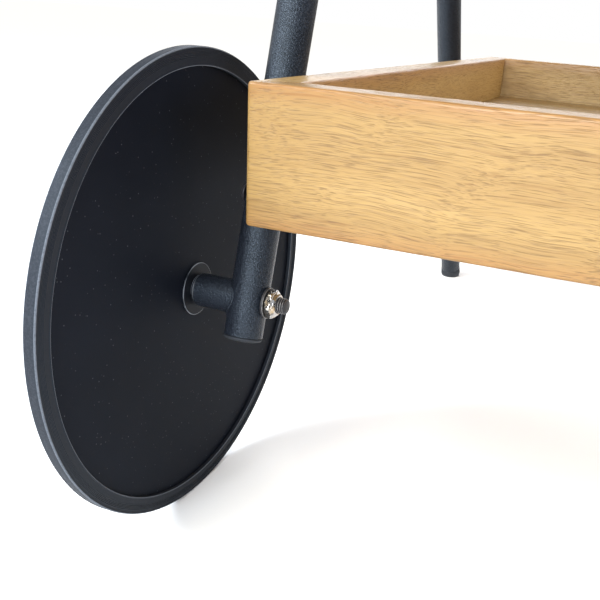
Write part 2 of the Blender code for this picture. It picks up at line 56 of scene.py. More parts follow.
class Wire:
    # One socket of a node tree. Sums and products of wires and numbers add their Math nodes.
    def __init__(self, tree, socket=None):
        self.tree, self.socket = tree, socket

    # Adds a node: settings first, then values or wires for its sockets, and gives one output.
    def node(self, kind, settings=None, sockets=None, out=0):
        made = self.tree.nodes.new(kind)
        for name, value in (settings or {}).items():
            if name == "stops":
                stops = made.color_ramp.elements
                while len(stops) < len(value):
                    stops.new(0.5)
                for stop, (place, colour) in zip(stops, value):
                    stop.position, stop.color = place, (*colour, 1.0)
            else:
                setattr(made, name, value)
        for name, value in (sockets or {}).items():
            if isinstance(value, Wire):
                self.tree.links.new(value.socket, made.inputs[name])
            else:
                made.inputs[name].default_value = value
        return Wire(self.tree, made.outputs[out])

    def maths(self, operation, *values):
        return self.node("ShaderNodeMath", {"operation": operation}, dict(enumerate(values)))

    def __add__(self, other): return self.maths("ADD", self, other)
    def __radd__(self, other): return self.maths("ADD", other, self)
    def __sub__(self, other): return self.maths("SUBTRACT", self, other)
    def __rsub__(self, other): return self.maths("SUBTRACT", other, self)
    def __mul__(self, other): return self.maths("MULTIPLY", self, other)
    def __rmul__(self, other): return self.maths("MULTIPLY", other, self)

    # 0 below low, 1 above high, straight between
    def rise(self, low, high):
        return self.node("ShaderNodeMapRange", {"clamp": True},
                         {"Value": self, "From Min": low, "From Max": high})

    def scaled(self, factors):
        return self.node("ShaderNodeVectorMath", {"operation": "MULTIPLY"}, {0: self, 1: factors})

    def moved(self, other):
        return self.node("ShaderNodeVectorMath", {"operation": "ADD"}, {0: self, 1: other})

    # One colour where the mask is 0, the other where it is 1
    def colours(self, first, second):
        pair = {0: self, 6: first, 7: second}
        pair = {k: (*v, 1.0) if isinstance(v, tuple) else v for k, v in pair.items()}
        return self.node("ShaderNodeMix", {"data_type": "RGBA", "clamp_factor": True}, pair, out=2)

    def noise(self, scale=1.0, detail=2.0, roughness=0.5, distortion=0.0, out="Fac"):
        return self.node("ShaderNodeTexNoise", None,
                         {"Vector": self, "Scale": scale, "Detail": detail,
                          "Roughness": roughness, "Distortion": distortion}, out)

    def bump(self, height, distance, strength=1.0):
        return self.node("ShaderNodeBump", None,
                         {"Height": height, "Distance": distance, "Strength": strength})


def makeFinish(name, recipe, fixed):
    # A material whose recipe gives the sockets that vary; fixed gives the plain ones.
    finish = bpy.data.materials.new(name)
    finish.use_nodes = True
    tree = finish.node_tree
    shader = tree.nodes["Principled BSDF"]
    for socket, value in fixed.items():
        shader.inputs[socket].default_value = value
    for socket, value in recipe(Wire(tree)).items():
        tree.links.new(value.socket, shader.inputs[socket])
    return finish


def objectPlace(start):
    return start.node("ShaderNodeTexCoord", out="Object")


def wearMask(start):
    return start.node("ShaderNodeAttribute", {"attribute_name": "wear"}, out="Fac")


# glint holds the colour of the painted glints: pale specks in the base colour that stand in for
# highlights
powder = {"dark": (0.0020, 0.0026, 0.0046), "light": (0.021, 0.026, 0.038),
          "worn": (0.16, 0.17, 0.19), "glint": (0.17, 0.20, 0.25),
          "grainPerMetre": 1000, "grainHeight": 0.55 * mm, "roughness": 0.29}


def powderRecipe(start):
    # Fine orange-peel powder coat: small rounded grains, with painted glints: sparse pale specks
    # put into the base colour as highlights, a little smoother there.
    place = objectPlace(start)
    grains = place.noise(powder["grainPerMetre"], 2.5, 0.6)
    patches = place.noise(14, 3)
    # Sparse specks that get painted glints: a pale highlight colour mixed into the base colour
    glint = place.noise(powder["grainPerMetre"] * 1.6, 1).rise(0.56, 0.70)
    worn = wearMask(start) * place.noise(160, 3).rise(0.40, 0.62)
    colour = (grains.rise(0.42, 0.72) * 0.55 + patches.rise(0.35, 0.7) * 0.2).colours(
        powder["dark"], powder["light"])
    colour = (worn * 0.55).colours(colour, powder["worn"])
    return {"Base Color": (glint * 0.20).colours(colour, powder["glint"]),
            "Roughness": powder["roughness"] + grains * 0.16 - glint * 0.14,
            "Normal": start.bump(grains, powder["grainHeight"])}


discLook = {"base": (0.0024, 0.0034, 0.0068), "soft": (0.0046, 0.0060, 0.0106),
            "speck": (0.10, 0.105, 0.12), "specksPerMetre": 520, "roughness": 0.52}


def discRecipe(start):
    # Smooth matt black sheet with a few dust specks and faint cloudy marks.
    place = objectPlace(start)
    clouds = place.noise(9, 4, 0.6)
    cell = {"Vector": place, "Scale": discLook["specksPerMetre"]}
    near = start.node("ShaderNodeTexVoronoi", None, cell, "Distance")
    pick = start.node("ShaderNodeTexVoronoi", None, cell, "Color").noise(40, 0)
    specks = (1 - near.rise(0.06, 0.24)) * pick.rise(0.66, 0.72)
    colour = clouds.rise(0.35, 0.68).colours(discLook["base"], discLook["soft"])
    fine = place.noise(1300, 2)
    return {"Base Color": (specks * 0.8).colours(colour, discLook["speck"]),
            "Roughness": discLook["roughness"] + clouds * 0.10 + fine * 0.06,
            "Normal": start.bump(fine + specks * 1.5, 0.03 * mm)}


tyreLook = {"base": (0.0085, 0.0098, 0.0140), "dusty": (0.040, 0.045, 0.058),
            "rubbed": (0.12, 0.135, 0.16), "lines": (0.008, 0.009, 0.012),
            "treadFrom": 149.2, "grainPerMetre": 900, "roughness": 0.56}


def tyreRecipe(start):
    # Moulded rubber: rough grain, dust on the tread, a painted highlight on the inner lip and the
    # shoulder, faint rings from the mould.
    place = objectPlace(start)
    offAxle = place.moved(tuple(-axle)).scaled((0, 1, 1))
    ring = start.node("ShaderNodeVectorMath", {"operation": "LENGTH"}, {0: offAxle}, "Value")
    rings = start.node("ShaderNodeCombineXYZ", None, {0: ring * 1500, 1: 0.0, 2: 0.0})
    lines = rings.moved(place.scaled((600, 14, 14))).noise(1, 3)
    grain = place.noise(tyreLook["grainPerMetre"], 3, 0.65)
    scuffs = place.scaled((1.0, 0.4, 0.4)).noise(240, 4, 0.7).rise(0.55, 0.75)
    tread = (ring * 1000).rise(tyreLook["treadFrom"], tyreLook["treadFrom"] + 0.7)
    rough = grain.rise(0.42, 0.62)
    # Where wear is set (inner lip, shoulder) the rubber is painted paler: a painted highlight; the
    # tread share is dust
    dustAndEdgeHighlight = wearMask(start) * 0.55 + tread * (0.10 + 0.45 * rough) + scuffs * tread * 0.4
    colour = dustAndEdgeHighlight.colours(tyreLook["base"], tyreLook["dusty"])
    # Painted highlight: the lip and shoulder rows take a pale highlight colour
    colour = (wearMask(start) * (0.45 + grain)).rise(0.50, 1.0).colours(
        colour, tyreLook["rubbed"])
    return {"Base Color": (lines * 0.30).colours(colour, tyreLook["lines"]),
            "Roughness": tyreLook["roughness"] + grain * 0.18 - tread * 0.04,
            "Normal": start.bump(grain * (0.4 + tread) + lines * 0.35, 0.10 * mm)}


plastic = {"base": (0.0030, 0.0037, 0.0064), "polished": (0.46, 0.50, 0.56), "roughness": 0.44}


def plasticRecipe(start):
    # Fine-grained moulded plastic, with a painted highlight: pale colour on its rounded edges and
    # rims, smoother there.
    place = objectPlace(start)
    grain = place.noise(1500, 2)
    # Where wear is set the colour turns pale: a painted highlight on the rims, not real wear
    worn = wearMask(start) * place.noise(90, 3).rise(0.35, 0.65)
    return {"Base Color": (worn * 0.8 + grain * 0.01).colours(plastic["base"], plastic["polished"]),
            "Roughness": plastic["roughness"] + grain * 0.12 - worn * 0.12,
            "Normal": start.bump(grain, 0.04 * mm)}


footLook = {"base": (0.016, 0.017, 0.020), "dusty": (0.085, 0.09, 0.10), "dustTop": 9 * mm,
            "roughness": 0.6}


def footRecipe(start):
    # Soft rubber, paler where it rubs on the ground.
    place = objectPlace(start)
    height = start.node("ShaderNodeSeparateXYZ", None, {0: place}, "Z")
    low = 1 - height.rise(0.5 * mm, footLook["dustTop"])
    grain = place.noise(700, 4, 0.65)
    mask = low * grain.rise(0.35, 0.6) * 0.7 + wearMask(start) * 0.3
    return {"Base Color": mask.colours(footLook["base"], footLook["dusty"]),
            "Roughness": footLook["roughness"] + grain * 0.2,
            "Normal": start.bump(grain, 0.09 * mm)}


steel = {"black": (0.026, 0.025, 0.029), "bare": (0.42, 0.41, 0.40), "roughness": 0.42}


def steelRecipe(start):
    # Blackened steel: bare at its sharp edges, with fine turning marks.
    place = objectPlace(start)
    grain = place.noise(650, 3, 0.6)
    worn = (wearMask(start) * (0.25 + grain)).rise(0.45, 0.95)
    return {"Base Color": worn.colours(steel["black"], steel["bare"]),
            "Metallic": 0.35 + worn * 0.6,
            "Roughness": steel["roughness"] - worn * 0.12 + grain * 0.14,
            "Normal": start.bump(grain, 0.04 * mm)}


plate = {"bright": (0.60, 0.60, 0.60), "tinted": (0.48, 0.37, 0.24), "stain": (0.05, 0.042, 0.035),
         "roughness": 0.10}


def platedRecipe(start):
    # Bright plate with a warm passivated tint in places and light scratches.
    place = objectPlace(start)
    tint = place.noise(210, 3, 0.6, 0.6).rise(0.40, 0.66)
    scratch = place.scaled((1, 0.15, 1)).noise(2600, 2).rise(0.58, 0.7)
    stain = place.noise(420, 4, 0.7).rise(0.50, 0.62)
    colour = tint.colours(plate["bright"], plate["tinted"])
    return {"Base Color": (stain * 0.90).colours(colour, plate["stain"]),
            "Roughness": plate["roughness"] + tint * 0.10 + scratch * 0.14 + stain * 0.2,
            "Normal": start.bump(place.noise(380, 3) + scratch * 0.2, 0.05 * mm)}


def dullMetalRecipe(pale, dark):
    def recipe(start):
        # Dull metal with slow tarnish and turning marks.
        place = objectPlace(start)
        tarnish = place.noise(120, 4, 0.6).rise(0.4, 0.7)
        marks = place.scaled((3, 1, 1)).noise(1100, 2)
        return {"Base Color": tarnish.colours(pale, dark),
                "Roughness": 0.28 + tarnish * 0.2 + marks * 0.08,
                "Normal": start.bump(marks, 0.03 * mm)}
    return recipe


woodLook = {
    "pale": (0.392, 0.262, 0.100), "middle": (0.322, 0.197, 0.062), "deep": (0.190, 0.098, 0.026),
    "pore": (0.095, 0.046, 0.014), "edge": (0.270, 0.105, 0.026),
    "roughness": 0.34, "poreDepth": 0.14 * mm,
}


def woodRecipe(start):
    # Oiled acacia. "grain" holds (along, across, through) in metres, shifted for each board.
    grain = start.node("ShaderNodeAttribute", {"attribute_name": "grain"}, out="Vector")
    tone = start.node("ShaderNodeAttribute", {"attribute_name": "tone"}, out="Fac")
    wave = grain.scaled((9, 9, 9)).noise(1, 2, 0.5, 0.3, out="Color")
    wave = wave.moved((-0.5, -0.5, -0.5)).scaled((0, 0.013, 0.013))
    ripple = grain.scaled((60, 90, 90)).noise(1, 2, out="Color")
    ripple = ripple.moved((-0.5, -0.5, -0.5)).scaled((0, 0.0003, 0.0003))
    bent = grain.moved(wave).moved(ripple)
    bands = bent.scaled((3.5, 85, 85)).noise(1, 4, 0.55)
    fibres = bent.scaled((7, 820, 820)).noise(1, 3, 0.62)
    pores = bent.scaled((55, 2200, 2200)).noise(1, 1, 0.5)
    crowd = bent.scaled((8, 60, 60)).noise(1, 2)
    pores = (pores + crowd * 0.14).rise(0.625, 0.74)
    cloud = grain.scaled((5, 12, 12)).noise(1, 2)
    shade = bands * 0.42 + fibres * 0.95 + cloud * 0.40 + tone * 0.14 - 0.38
    colour = start.node("ShaderNodeValToRGB", {"stops": (
        (0.18, woodLook["deep"]), (0.48, woodLook["middle"]), (0.82, woodLook["pale"]))},
        {"Fac": shade}, "Color")
    edge = wearMask(start) * (0.35 + 0.5 * bands)
    colour = (edge * 0.75).colours(colour, woodLook["edge"])
    streaks = fibres.rise(0.50, 0.62)
    colour = (streaks * 0.55).colours(colour, woodLook["deep"])
    colour = (pores * 0.52).colours(colour, woodLook["pore"])
    height = fibres * 0.45 - pores * 0.8 + bands * 0.25
    return {"Base Color": colour,
            "Roughness": woodLook["roughness"] + fibres * 0.16 + pores * 0.2 - edge * 0.06,
            "Normal": start.bump(height, woodLook["poreDepth"], 0.8)}


def coolGloss(level):
    # A weak, slightly blue gloss for the blacks
    return {"Specular IOR Level": level, "Specular Tint": (0.72, 0.86, 1.0, 1.0)}


powderCoat = makeFinish("textured powder coat", powderRecipe, coolGloss(0.34))
discBlack = makeFinish("matt black disc", discRecipe, coolGloss(0.10))
tyreRubber = makeFinish("moulded tyre rubber", tyreRecipe, coolGloss(0.26))
blackPlastic = makeFinish("black plastic", plasticRecipe, coolGloss(0.12))
footRubber = makeFinish("rubber foot", footRecipe, coolGloss(0.25))
blackSteel = makeFinish("blackened steel", steelRecipe, {"Specular IOR Level": 0.5})
brightPlate = makeFinish("bright plate", platedRecipe, {"Metallic": 1.0})
zincPlate = makeFinish("zinc plate", dullMetalRecipe((0.62, 0.63, 0.65), (0.40, 0.41, 0.43)),
                       {"Metallic": 1.0})
brass = makeFinish("brass", dullMetalRecipe((0.66, 0.48, 0.20), (0.42, 0.27, 0.10)),
                   {"Metallic": 1.0})
acacia = makeFinish("oiled acacia", woodRecipe, {"Specular IOR Level": 0.5})
print("finishes made")


def gridQuads(rows, columns, wrapRows=False, wrapColumns=False):
    # Quads of a grid whose vertex (row, column) has the number row * columns + column.
    index = np.arange(rows * columns).reshape(rows, columns)
    if wrapRows:
        index = np.vstack([index, index[:1]])
    if wrapColumns:
        index = np.hstack([index, index[:, :1]])
    return np.stack([index[:-1, :-1], index[1:, :-1], index[1:, 1:], index[:-1, 1:]],
                    -1).reshape(-1, 4)


def addObject(name, data):
    made = bpy.data.objects.new(name, data)
    bpy.context.scene.collection.objects.link(made)
    return made


def makePiece(name, points, faces, finish, slot, body, nodes, sharp=38, **attributes):
    # Puts arrays into a mesh, closes poles and seams, turns faces outwards, and rides a body.
    mesh = bpy.data.meshes.new(name)
    mesh.from_pydata(points.reshape(-1, 3).tolist(), [], faces)
    for key, values in attributes.items():
        vector = values.ndim > 1
        layer = mesh.attributes.new(key, "FLOAT_VECTOR" if vector else "FLOAT", "POINT")
        layer.data.foreach_set("vector" if vector else "value", values.astype(np.float32).ravel())
    shape = bmesh.new()
    shape.from_mesh(mesh)
    bmesh.ops.remove_doubles(shape, verts=shape.verts, dist=2e-6)
    bmesh.ops.recalc_face_normals(shape, faces=shape.faces)
    shape.to_mesh(mesh)
    shape.free()
    mesh.shade_smooth()
    mesh.set_sharp_from_angle(angle=np.radians(sharp))
    mesh.materials.append(finish)
    piece = addObject(name, mesh)
    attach(piece, body)
    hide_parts(*nodes)


def soften(corners, steps=5, hold=0.5):
    # Rounds a profile. Each corner is (along, radius, rounding) in mm: between a point one
    # rounding before it and one after it runs the curve (1-s)^2 a + 2s(1-s) p + s^2 b, with
    # one more point beyond each end that keeps the flats flat. Gives metres and wear.
    corners = np.array(corners, float)
    corner, rounding = corners[:, :2], corners[:, 2]
    ends = []
    for step in (1, -1):
        gap = np.roll(corner, step, 0) - corner
        length = np.maximum(np.hypot(*gap.T), 1e-9)
        ends.append((gap / length[:, None], length))
    s = np.linspace(0, 1, steps)[None, :, None]
    reach = [np.minimum(rounding, 0.45 * length) for _, length in ends]
    far = [np.minimum(rounding * (1 + hold), 0.49 * length) for _, length in ends]
    a, b = (corner + ends[k][0] * reach[k][:, None] for k in (0, 1))
    curve = ((1 - s) ** 2 * a[:, None] + 2 * s * (1 - s) * corner[:, None] + s ** 2 * b[:, None])
    before, after = ((corner + ends[k][0] * far[k][:, None])[:, None] for k in (0, 1))
    points = np.concatenate([before, curve, after], 1)
    worn = np.sin(np.pi * s[..., 0]) * (rounding > 0)[:, None]
    wear = np.pad(worn, ((0, 0), (1, 1)))
    return points.reshape(-1, 2) * mm, wear.ravel()


def latheGrid(profile, origin, axis, steps, flats=None):
    # Turns (along, radius) rows round an axis: origin + along*axis + r*(cos t, sin t). Where
    # flats gives a distance across half a hexagon, r is no more than flats / cos(t to a flat).
    axis = Vector(axis).normalized()
    up = Vector((0, 0, 1)) if abs(axis.x) > 0.9 else Vector((1, 0, 0))
    up = (up - axis * up.dot(axis)).normalized()
    other = axis.cross(up)
    t = np.arange(steps) * 2 * np.pi / steps
    radius = np.repeat(profile[:, 1:2], steps, 1)
    if flats is not None:
        toFlat = (t + np.pi / 6) % (np.pi / 3) - np.pi / 6
        radius = np.minimum(radius, np.array(flats)[:, None] / np.cos(toFlat))
    return (np.array(origin) + profile[:, :1, None] * np.array(axis)
            + radius[..., None] * (np.cos(t)[:, None] * np.array(up)
                                   + np.sin(t)[:, None] * np.array(other)))


def turned(name, corners, origin, axis, finish, slot, body, nodes, steps, closed=True):
    # A turned piece from a profile of (along, radius, rounding) corners in mm.
    profile, wear = soften(corners)
    if not closed:                       # both ends of the profile lie on the axis
        profile[profile[:, 1] < 1e-6, 1] = 0
    grid = latheGrid(profile, origin, axis, steps)
    faces = gridQuads(len(profile), steps, closed, True).tolist()
    makePiece(name, grid, faces, finish, slot, body, nodes, wear=np.repeat(wear, steps))


sideFrame = {"bendRadius": 55.3 * mm, "tail": 24 * mm, "foot": 14 * mm,
             "stem": 10.8, "bendSteps": 48, "around": 64, "rim": 0.35 * mm}


def frameLine():
    # Centre line in (y, z): straight wheel leg, arc of the bend radius, straight foot leg.
    nearTilt, farTilt = np.arctan(cart["nearLean"]), np.arctan(cart["farLean"])
    nearUp = np.array([np.sin(nearTilt), np.cos(nearTilt)])
    farUp = np.array([-np.sin(farTilt), np.cos(farTilt)])
    nearFoot = np.array([cart["axleY"] - cart["axleZ"] * cart["nearLean"], 0])
    apexZ = (cart["farGroundY"] - nearFoot[0]) / (cart["nearLean"] + cart["farLean"])
    apex = nearFoot + np.array([apexZ * cart["nearLean"], apexZ])
    half = (nearTilt + farTilt) / 2
    radius = sideFrame["bendRadius"]
    bendStart = apex - nearUp * radius / np.tan(half)
    centre = bendStart + np.array([nearUp[1], -nearUp[0]]) * radius
    turn = np.pi - nearTilt - np.linspace(0, np.pi - 2 * half, sideFrame["bendSteps"] + 1)
    bend = centre + radius * np.stack([np.cos(turn), np.sin(turn)], 1)
    low = axle[1:] - nearUp * sideFrame["tail"]
    high = np.array([cart["farGroundY"], 0]) + farUp * sideFrame["foot"]
    share = np.linspace(0, 1, 24)[:, None]
    nearLeg = low + (bend[0] - low) * share
    farLeg = bend[-1] + (high - bend[-1]) * share
    return np.vstack([nearLeg[:-1], bend, farLeg[1:]]), nearUp, farUp, bend[len(bend) // 2]


line, nearUp, farUp, gripMiddle = frameLine()


def frameTube(sideName, side):
    # Round tube: each centre point carries a ring in its normal plane, first along the
    # outside, then back along the inside, with the outer rim of both cut ends broken.
    r, wall, rim = cart["tubeRadius"], cart["tubeWall"], sideFrame["rim"]
    tangent = np.gradient(line, axis=0)
    tangent /= np.hypot(*tangent.T)[:, None]
    order = np.concatenate([[0, 0], np.arange(len(line)), [-1, -1], np.arange(len(line))[::-1]])
    inset = np.concatenate([[rim, 0.3 * rim], np.zeros(len(line)), [0.3 * rim, rim],
                            np.full(len(line), wall)])
    push = np.zeros(len(order))
    push[1], push[2] = 0.3 * rim, rim
    push[len(line) + 1], push[len(line) + 2] = -rim, -0.3 * rim
    centre = line[order] + tangent[order] * push[:, None]
    normal = np.stack([-tangent[order][:, 1], tangent[order][:, 0]], 1)
    a = np.arange(sideFrame["around"]) * 2 * np.pi / sideFrame["around"]
    ring = (r - inset)[:, None]
    x = side * cart["tubeX"] + ring * np.cos(a)
    yz = centre[:, None] + normal[:, None] * (ring * np.sin(a))[..., None]
    grid = np.concatenate([x[..., None], yz], 2)
    wear = np.repeat((inset > 0) & (inset < wall), len(a)) * 0.3
    faces = gridQuads(len(order), len(a), True, True).tolist()
    makePiece("frame_tube_" + sideName, grid, faces, powderCoat, "powder_black", "frame",
              ["side_frame_" + sideName], wear=wear)


sleeve = {"radius": 11 * mm, "bore": 9.4 * mm, "endX": 248.4 * mm, "round": 0.7 * mm,
          "around": 96, "beadLow": 1.5 * mm, "beadHigh": 0.55 * mm, "ripples": 26}


def legSurface(radius, angle):
    # How far out the leg's surface stands where the sleeve meets it: tube radius squared
    # less the square of the distance from the leg's centre line.
    y, z = radius * np.cos(angle), radius * np.sin(angle)
    off = y * nearUp[1] - z * nearUp[0]
    return cart["tubeX"] + np.sqrt(cart["tubeRadius"] ** 2 - off ** 2)


def axleSleeve(sideName, side):
    # Tube coped to the leg: x runs from the leg's surface to the open end, row by row.
    a = np.arange(sleeve["around"]) * 2 * np.pi / sleeve["around"]
    rounded = sleeve["round"]
    turn = np.linspace(0, np.pi / 2, 6)
    share = np.concatenate([[0, 0.02, 0.3, 0.7, 0.97], np.ones(6), [1, 0.97, 0.5, 0]])
    back = np.concatenate([[0, 0, 0, 0, 0], rounded * (1 - np.sin(turn)), [0, 0, 0, 0]])
    radius = np.concatenate([np.full(5, sleeve["radius"]),
                             sleeve["radius"] - rounded * (1 - np.cos(turn)),
                             np.full(4, sleeve["bore"])])
    start = legSurface(radius[:, None], a[None, :]) + cart["gap"]
    x = start + (sleeve["endX"] - start) * share[:, None] - back[:, None]
    grid = np.stack([side * x, axle[1] + radius[:, None] * np.cos(a),
                     axle[2] + radius[:, None] * np.sin(a)], 2)
    wear = np.repeat((np.abs(np.arange(len(share)) - 7.5) < 3) * 1.0, len(a))
    faces = gridQuads(len(share), len(a), True, True).tolist()
    makePiece("axle_sleeve_" + sideName, grid, faces, powderCoat, "powder_black", "frame",
              ["axle_stub_" + sideName], wear=wear)


def weldBead(sideName, side):
    # Bead round the sleeve's foot: a small ring carried along the line where sleeve and leg
    # meet, thicker underneath, its radius swelling once for each ripple of the weld.
    a = np.arange(240) * 2 * np.pi / 240
    low = 0.5 - 0.5 * np.sin(a + 0.5)
    size = sleeve["beadHigh"] + (sleeve["beadLow"] - sleeve["beadHigh"]) * low ** 2
    size = size * (1 + 0.16 * np.abs(np.sin(a * sleeve["ripples"] / 2)) + 0.10 * np.sin(5 * a + 1))
    around = np.arange(12) * 2 * np.pi / 12
    x = legSurface(sleeve["radius"], a)[:, None] + size[:, None] * np.cos(around)
    r = sleeve["radius"] + size[:, None] * 0.8 * np.sin(around)
    grid = np.stack([side * x, axle[1] + r * np.cos(a)[:, None],
                     axle[2] + r * np.sin(a)[:, None]], 2)
    faces = gridQuads(len(a), len(around), True, True).tolist()
    makePiece("weld_bead_" + sideName, grid, faces, powderCoat, "powder_black", "frame",
              [], sharp=70, wear=np.zeros(grid.size // 3))


def legEnds(sideName, side):
    # Plug in the wheel leg and rubber cap on the foot leg, whose underside is cut level.
    x = side * cart["tubeX"]
    stem = sideFrame["stem"]
    lowNear = (x, *line[0])
    turned("leg_end_plug_" + sideName,
           [(-3, 0, 0), (-3, 9.5, 2), (-2.2, 11.8, 1), (-1.2, 12.5, 0.6), (-0.3, 12.5, 0.2),
            (-0.3, stem, 0), (9, stem - 0.5, 0.3), (9, 0, 0)], lowNear, (0, *nearUp),
           footRubber, "plastic_black", "frame", ["leg_plug_" + sideName], steps=64, closed=False)
    drop = (sideFrame["foot"] + cart["tubeRadius"]) / mm
    profile, wear = soften([(-drop, 0, 0), (-drop, 11.5, 1.5), (-11.5, 11.5, 0.4),
                            (-9.3, 12.75, 0.7), (-1.0, 12.75, 0.7), (-0.3, 12.0, 0.3),
                            (-0.3, stem, 0.2), (12, stem - 0.5, 0.3), (12, 0, 0)])
    grid = latheGrid(profile, (x, *line[-1]), (0, *farUp), 64)
    lift = np.maximum(0, -grid[..., 2]) / farUp[1]       # slide up the leg to the ground
    grid = grid + lift[..., None] * np.array([0, *farUp])
    faces = gridQuads(len(profile), 64, False, True).tolist()
    makePiece("foot_cap_" + sideName, grid, faces, footRubber, "foot_rubber", "frame",
              ["foot_" + sideName], wear=np.repeat(wear, 64))


for sideName, side in sides:
    frameTube(sideName, side)
    axleSleeve(sideName, side)
    weldBead(sideName, side)
    legEnds(sideName, side)
print("side frames made")


board = {"thickness": 23 * mm, "height": 79 * mm, "rounding": 1.9 * mm, "corner": 2.6 * mm,
         "unevenness": 0.22, "stations": 72}
trays = (
    {"name": "lower", "y": (-261 * mm, 379 * mm), "bottom": 207.6 * mm, "slats": 13},
    {"name": "upper", "y": (-224.3 * mm, 215.7 * mm), "bottom": 490 * mm, "slats": 9},
)
random = np.random.default_rng(11)


def softNoise(count, waves):
    # Smooth random line between -1 and 1: a sum of sines with random phases.
    t = np.linspace(0, 2 * np.pi, count)[:, None]
    rate = random.uniform(0.6, 1.4, waves) * np.arange(2, 2 + 3 * waves, 3)
    wave = np.sin(t * rate + random.uniform(0, 7, waves)) / np.sqrt(np.arange(1, waves + 1))
    return wave.sum(1) / np.abs(wave.sum(1)).max()


def mitredBoard(name, length, place, tone, nodes):
    # Rounded rectangle carried along the board. Stations run straight and then round the
    # outer corner to the 45 degree cut: u = end - R + (R - inset) sin(t) and
    # v = R - (R - inset) cos(t) outside, and a share of the shorter inner face inside.
    thick, height, corner = board["thickness"], board["height"], board["corner"]
    slack = cart["gap"] / np.sqrt(2)
    turn = np.radians(np.linspace(0, 45, 6))
    flat = np.linspace(-1, 1, board["stations"])
    rounding = board["rounding"] * (1 + board["unevenness"] * np.stack(
        [softNoise(board["stations"] + 10, 6) for _ in range(4)], 1))
    rounding = np.minimum(rounding, corner * 0.95)
    q = np.linspace(0, np.pi / 2, 6)
    drawn, rise = 1 - np.sin(q), 1 - np.cos(q)
    # Each loop point: rounded edge 0-3, inset share, level, inner face, top. A level from 0 up
    # is within the rounding, down to -1 on a side face, below -2 across the top or underside.
    loop = []
    for edge, inner, top in ((0, 0, 0), (1, 0, 1), (2, 1, 1), (3, 1, 0)):
        pairs = list(zip(drawn, rise))
        if edge in (1, 3):
            pairs = pairs[::-1]
        loop += [(edge, inset, level, inner, top) for inset, level in pairs]
        if edge in (0, 2):
            levels = (0.15, 0.5, 0.85) if edge == 0 else (0.85, 0.5, 0.15)
            loop += [(edge, 0, -share, inner, 0) for share in levels]
        else:
            shares = (0.3, 0.7) if edge == 1 else (0.7, 0.3)
            loop += [(edge, 1, -2 - share, 0, top) for share in shares]
    loop = np.array(loop)
    edge = loop[:, 0].astype(int)
    r = rounding[:, edge]                                   # station x loop point
    level = loop[:, 2]
    z = np.where(loop[:, 4] == 1, height - r * level, r * level)
    z = np.where((level < 0) & (level > -2), -level * height, z)
    z = np.where(level <= -2, np.where(loop[:, 4] == 1, height, 0), z)
    inset = r * loop[:, 1]
    across = np.where(level <= -2, -level - 2, loop[:, 3])  # 0 outer face, 1 inner face
    across = np.broadcast_to(across, r.shape)
    arc = corner - inset
    ends = length / 2 - corner
    u = np.concatenate([
        -(ends + arc[None, :5] * np.sin(turn[:0:-1])[None, :, None])[0],
        np.broadcast_to(flat[:, None] * ends, inset[5:-5].shape),
        (ends + arc[None, -5:] * np.sin(turn[1:])[None, :, None])[0]])
    v = np.concatenate([
        (corner - arc[None, :5] * np.cos(turn[:0:-1])[None, :, None])[0], inset[5:-5],
        (corner - arc[None, -5:] * np.cos(turn[1:])[None, :, None])[0]])
    share = u / np.abs(u[-1]).max()
    innerV = thick - inset
    innerU = share * (length / 2 - innerV)
    outU, outV = u - slack * share, v
    innerU = innerU - slack * share
    grid = np.stack([outU + (innerU - outU) * across, outV + (innerV - outV) * across, z], 2)
    count, around = outU.shape
    faces = gridQuads(count, around, False, True).tolist()
    caps = np.arange(count * around).reshape(count, around)[[0, -1]].tolist()
    wear = np.broadcast_to((level > 0) & (level < 1), outU.shape).astype(float)
    flatGrid = grid.reshape(-1, 3)
    placed = flatGrid @ np.array(place.to_3x3()).T + np.array(place.translation)
    grain = flatGrid[:, [0, 2, 1]] + random.uniform(-9, 9, 3)
    makePiece(name, placed, faces + caps, acacia, "acacia", "frame", nodes, 42,
              wear=wear.ravel(), grain=grain, tone=np.full(len(flatGrid), tone))


def boardPlaces(tray):
    # Name, length and place of the four boards, outer faces outwards.
    y0, y1 = tray["y"]
    half, middle = cart["trayHalf"], (y0 + y1) / 2

    def placed(x, y, angle):
        return (Matrix.Translation((x, y, tray["bottom"]))
                @ Matrix.Rotation(np.radians(angle), 4, "Z"))

    return (("near", 2 * half, placed(0, y0, 0)), ("far", 2 * half, placed(0, y1, 180)),
            ("left", y1 - y0, placed(-half, middle, -90)),
            ("right", y1 - y0, placed(half, middle, 90)))


slat = {"thickness": 12 * mm, "space": 3.4 * mm, "top": 35.5 * mm, "edge": 1.5 * mm,
        "inside": 176.4 * mm, "batten": 18 * mm}


